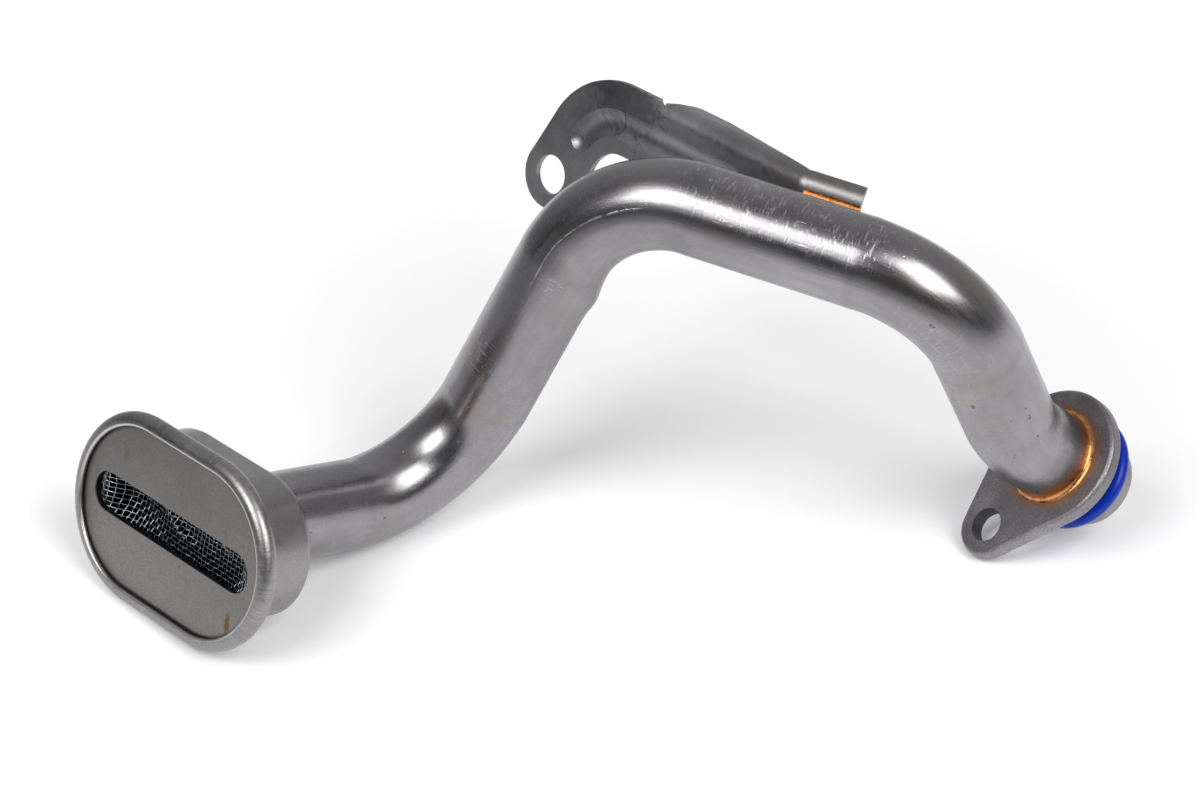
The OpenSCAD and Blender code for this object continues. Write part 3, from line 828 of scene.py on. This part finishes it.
class PICKUP_OT_tube(Operator):
    """Sweep the bent tube with its forming marks"""

    bl_idname = "pickup.tube"
    bl_label = "Tube"

    def execute(self, context):
        r = route()
        bm = bmesh.new()
        for name in ("straight", "worn"):
            bm.verts.layers.float_vector.new(name)
        outer_r, inner_r = r.tube_od / 2, r.tube_od / 2 - r.tube_wall
        outer = sweep_wall(bm, outer_r, OUTER_STEP, r.tip_round)
        outer.tip(outer_r, r.tip_round)
        self.mark(bm, outer.straight)
        sweep_wall(bm, inner_r, INNER_STEP)
        self.join(bm, outer.first, leg_starts()[0], inner_r / outer_r)
        self.join(bm, outer.edges(), outer.at, inner_r / (outer_r - r.tip_round))
        bmesh.ops.remove_doubles(bm, verts=bm.verts, dist=WELD)
        bmesh.ops.recalc_face_normals(bm, faces=bm.faces)
        if not all(edge.is_manifold for edge in bm.edges):
            raise RuntimeError("The tube's wall isn't closed")
        mesh = bpy.data.meshes.new("pickup_tube_steel")
        bm.to_mesh(mesh)
        bm.free()
        steel = tube_steel(context.scene.pickup_finish)
        add_piece("pickup_tube_steel", mesh, steel, "pickup_tube")
        return {"FINISHED"}

    def join(self, bm, edges, at, inset):
        """Turns an end of the outer wall in to meet the inner wall."""
        bmesh.ops.scale(bm, vec=(inset, inset, 1), space=at.inverted(), verts=grow(bm, edges))

    def mark(self, bm, straight):
        """Draws the bends down, raises rings and a fold, and notes the rings' painted shade, the worn crown
        and the copper.
        """
        r = route()
        worn = bm.verts.layers.float_vector["worn"]
        spans = bend_spans()
        ends = [end for span in spans for end in span]
        knee_at = spans[1][0] - r.knee_before
        crown_start, crown_end = spans[1][1] - r.crown_before, spans[2][0] + r.crown_past
        flange_at = spans[-1][1] + r.legs[-1] - r.spigot
        level = Matrix.Rotation(r.turns[0] + r.turns[1], 3, "Z")
        inside = level @ Vector((1, 0, 0))
        top = level @ (leg_starts()[2].to_3x3().inverted() @ CROWN_SIDE)
        bm.normal_update()
        for v in bm.verts:
            x, y, run = v[straight]
            side = Vector((x, y, 0)).normalized()
            stray = noise.noise(Vector((side.x * STRAY_ROUND, side.y * STRAY_ROUND, run * STRAY_ALONG)))
            ring = max(bell((run - end + stray * r.ring_stray) / r.ring_width) for end in ends)
            knee = bell((run - knee_at) / r.knee_width) * max(0.0, side.dot(inside)) ** KNEE_POWER
            drawn = sum(smooth((run - a) / r.bend_edge) * smooth((b - run) / r.bend_edge) for a, b in spans)
            v.co += v.normal * (ring * r.ring_rise + knee * r.knee_rise - drawn * r.bend_draw)
            crown = smooth((side.dot(top) - CROWN_EDGE) / CROWN_SPAN)
            crown *= smooth((run - crown_start) / r.crown_fade) * smooth((crown_end - run) / r.crown_fade)
            copper = smooth((run - flange_at + r.copper_reach + stray * r.copper_stray) / r.copper_reach)
            copper *= smooth((flange_at + r.copper_past - run) / r.copper_fade)
            # The rings' painted shade, the worn crown and the copper halo
            v[worn] = (ring * (0.5 + 0.5 * stray), crown, copper)


# Strainer


# Points of a wire from one crossing to the next
WIRE_STEPS = 4
# How fast the dish's ripple changes, per metre, and the crease's sway, per millimetre
RIPPLE_SCALE = 160
SWAY_SCALE = 2.1
# The way that the crease runs, along and across the slot
CREASE_WAY = (0.93, 0.37)


def obround(x, y, half):
    """Distance of a point from a long hole's spine."""
    return sqrt(max(0.0, abs(x) - half) ** 2 + y * y)


class PICKUP_OT_strainer(Operator):
    """Finish the strainer's cup and its cover"""

    bl_idname = "pickup.strainer"
    bl_label = "Strainer"

    def execute(self, context):
        finish = context.scene.pickup_finish
        dress("strainer_housing", cup_steel(finish))
        dress("strainer_cover", cover_steel(finish))
        return {"FINISHED"}


class PICKUP_OT_screen(Operator):
    """Weave the dished wire screen behind the slot"""

    bl_idname = "pickup.screen"
    bl_label = "Screen"

    def execute(self, context):
        s = strainer()
        curve = bpy.data.curves.new("screen_weave", "CURVE")
        curve.dimensions = "3D"
        curve.bevel_depth = s.wire_d / 2
        curve.bevel_resolution = 0
        curve.use_fill_caps = True
        for across, reach, pitch in ((True, s.half + s.edge_r, s.pitch_x), (False, s.edge_r, s.pitch_y)):
            count = int(reach / pitch)
            for wire in range(-count, count + 1):
                self.wire(curve, wire, wire * pitch, across)
        weave = bpy.data.objects.new("screen_weave", curve)
        context.scene.collection.objects.link(weave)
        mesh = bpy.data.meshes.new_from_object(weave)
        bpy.data.objects.remove(weave)
        if not mesh.polygons:
            raise RuntimeError("The screen has no wires")
        steel = screen_wire(context.scene.pickup_finish)
        add_piece("strainer_screen_weave", mesh, steel, "strainer_screen")
        return {"FINISHED"}

    def depth(self, x, y):
        """Height of the dished screen at a point, with its hollow and its crease."""
        s = strainer()
        floor = smooth((s.dish_r - obround(x, y, s.half)) / s.ramp)
        ripple = noise.noise(Vector((x, y, 0)) * RIPPLE_SCALE) * s.ripple
        hollow = s.hollow * bell((x - s.hollow_at) / s.hollow_length)
        hollow *= max(0.0, 1 - (y / s.hollow_width) ** 2)
        along, across = x - s.crease_at[0], y - s.crease_at[1]
        off = CREASE_WAY[0] * across - CREASE_WAY[1] * along + s.crease_sway * sin(SWAY_SCALE * x / MM)
        run = CREASE_WAY[0] * along + CREASE_WAY[1] * across
        crease = s.crease * bell(off / s.crease_width) * bell(run / s.crease_length)
        return s.front + floor * (s.dip + ripple + hollow - crease)

    def wire(self, curve, wire, offset, across):
        """One wire of the weave, over and under the wires that it crosses."""
        s = strainer()
        if across:
            end = sqrt(max(0.0, s.edge_r**2 - max(0.0, abs(offset) - s.half) ** 2))
            pitch = s.pitch_y
        else:
            end = s.half + sqrt(max(0.0, s.edge_r**2 - offset**2))
            pitch = s.pitch_x
        count = int(end / pitch)
        if count < 1:
            return
        at = resting()
        line = curve.splines.new("POLY")
        line.points.add(2 * count * WIRE_STEPS)
        for k, point in enumerate(line.points):
            crossing = k / WIRE_STEPS - count
            x, y = (offset, crossing * pitch) if across else (crossing * pitch, offset)
            sway = cos(pi * (crossing + wire)) * s.wire_d / 2
            z = self.depth(x, y) + (sway if across else -sway)
            point.co = (*(at @ Vector((x, y, z))), 1)


# Flange, ring and bracket


class PICKUP_OT_flange(Operator):
    """Finish the flange, the rubber ring and the bright braze"""

    bl_idname = "pickup.flange"
    bl_label = "Flange and ring"

    def execute(self, context):
        finish = context.scene.pickup_finish
        dress("mounting_flange", flange_steel(finish))
        dress("o_ring", blue_rubber(finish.ring))
        copper = copper_braze("flowed_copper", finish.braze)
        for node in ("flange_braze", "housing_braze"):
            dress(node, copper)
        return {"FINISHED"}


class PICKUP_OT_bracket(Operator):
    """Finish the stamped bracket and its browned braze"""

    bl_idname = "pickup.bracket"
    bl_label = "Bracket"

    def execute(self, context):
        finish = context.scene.pickup_finish
        dress("support_bracket", bracket_steel(finish))
        dress("bracket_braze", copper_braze("browned_copper", finish.dull_braze))
        return {"FINISHED"}


# Stage


class PICKUP_OT_stage(Operator):
    """Set the floor, the light and the camera"""

    bl_idname = "pickup.stage"
    bl_label = "Stage"

    def execute(self, context):
        s = context.scene.pickup_stage
        self.floor(context, s)
        self.room(context, s)
        self.softbox(context, "key_softbox", s.key_at, s.key_size, s.key_watts)
        self.softbox(context, "fill_softbox", s.fill_at, s.fill_size, s.fill_watts)
        self.camera(context, s)
        context.scene.view_settings.view_transform = "Standard"
        return {"FINISHED"}

    def floor(self, context, s):
        """A pale board that turns grey beyond its soft front and left edge."""
        bm = bmesh.new()
        bmesh.ops.create_grid(bm, x_segments=1, y_segments=1, size=s.floor_size / 2)
        mesh = bpy.data.meshes.new("floor")
        bm.to_mesh(mesh)
        bm.free()
        floor = bpy.data.objects.new("floor", mesh)
        context.scene.collection.objects.link(floor)
        mesh.materials.append(self.pale_floor(s))

    def pale_floor(self, s):
        """The floor's colour, and the glow that the camera and mirrors see on it."""
        n = Nodes("pale_floor")
        at = n.place()
        path = n.add("LightPath").outputs
        seen = n.math("MAXIMUM", path["Is Glossy Ray"], path["Is Transmission Ray"])
        seen = n.math("MAXIMUM", path["Is Camera Ray"], seen)
        front = n.math("SUBTRACT", n.vector("DOT_PRODUCT", at, (0, -1, 0)), s.board_front)
        left = n.math("SUBTRACT", n.vector("DOT_PRODUCT", at, (-1, -s.board_splay, 0)), s.board_left)
        away = n.ramp(n.math("MAXIMUM", front, left), 0.0, s.board_fade)
        glow = n.ramp(n.vector("DISTANCE", at, s.lift_at), s.lift_near, s.lift_far, s.lift, s.far_lift)
        n.set(
            Base_Color=n.mix(away, rgba(s.floor), rgba(s.far_floor)),
            Roughness=0.75,
            Specular_IOR_Level=0.2,
            Emission_Color=(1, 1, 1, 1),
            Emission_Strength=n.meet(seen, glow, n.math("SUBTRACT", 1.0, away)),
        )
        return n.material

    def room(self, context, s):
        """A room that grows brighter to the right, to the back and upwards."""
        world = bpy.data.worlds.new("room")
        context.scene.world = world
        world.use_nodes = True
        tree = world.node_tree
        way = tree.nodes.new("ShaderNodeTexCoord")
        slope = tree.nodes.new("ShaderNodeVectorMath")
        slope.operation = "DOT_PRODUCT"
        slope.inputs[1].default_value = (s.room_right, s.room_back, s.room_up)
        tree.links.new(way.outputs["Generated"], slope.inputs[0])
        level = slope.outputs["Value"]
        for operation, given in (("ADD", s.room), ("MAXIMUM", s.room_least)):
            step = tree.nodes.new("ShaderNodeMath")
            step.operation = operation
            step.inputs[1].default_value = given
            tree.links.new(level, step.inputs[0])
            level = step.outputs["Value"]
        sky = tree.nodes["Background"]
        sky.inputs["Color"].default_value = (1, 1, 1, 1)
        tree.links.new(level, sky.inputs["Strength"])

    def softbox(self, context, name, at, size, watts):
        """A soft area lamp that faces the part."""
        lamp = bpy.data.lights.new(name, "AREA")
        lamp.size = size
        lamp.energy = watts
        stand = bpy.data.objects.new(name, lamp)
        stand.location = at
        stand.rotation_euler = (-Vector(at)).to_track_quat("-Z", "Y").to_euler()
        context.scene.collection.objects.link(stand)

    def camera(self, context, s):
        """The camera that looks down on the part from the front."""
        camera = bpy.data.cameras.new("camera")
        camera.sensor_width = s.sensor
        camera.lens = s.lens
        camera.clip_start = s.clip
        stand = bpy.data.objects.new("camera", camera)
        stand.location = s.camera_at
        stand.rotation_euler = s.camera_turn
        context.scene.collection.objects.link(stand)
        context.scene.camera = stand


# Add-on


OPERATORS = (
    PICKUP_OT_tube,
    PICKUP_OT_strainer,
    PICKUP_OT_screen,
    PICKUP_OT_flange,
    PICKUP_OT_bracket,
    PICKUP_OT_stage,
)
GROUPS = {
    "pickup_route": PickupRoute,
    "pickup_strainer": PickupStrainer,
    "pickup_finish": PickupFinish,
    "pickup_stage": PickupStage,
}


class PICKUP_PT_panel(Panel):
    """The pieces of the pickup tube"""

    bl_label = "Oil Pickup Tube"
    bl_idname = "PICKUP_PT_panel"
    bl_space_type = "VIEW_3D"
    bl_region_type = "UI"
    bl_category = "Pickup"

    def draw(self, context):
        for operator in OPERATORS:
            self.layout.operator(operator.bl_idname)


def register():
    """Registers the settings, the operators and the panel."""
    for name, group in GROUPS.items():
        bpy.utils.register_class(group)
        setattr(bpy.types.Scene, name, PointerProperty(type=group))
    for item in (*OPERATORS, PICKUP_PT_panel):
        bpy.utils.register_class(item)


def unregister():
    """Removes what register added."""
    for item in (PICKUP_PT_panel, *reversed(OPERATORS)):
        bpy.utils.unregister_class(item)
    for name, group in reversed(GROUPS.items()):
        delattr(bpy.types.Scene, name)
        bpy.utils.unregister_class(group)


def main():
    """Builds every piece and the stage."""
    register()
    bpy.ops.pickup.tube()
    bpy.ops.pickup.strainer()
    bpy.ops.pickup.screen()
    bpy.ops.pickup.flange()
    bpy.ops.pickup.bracket()
    bpy.ops.pickup.stage()
    bpy.context.view_layer.update()


if __name__ == "__main__":
    main()
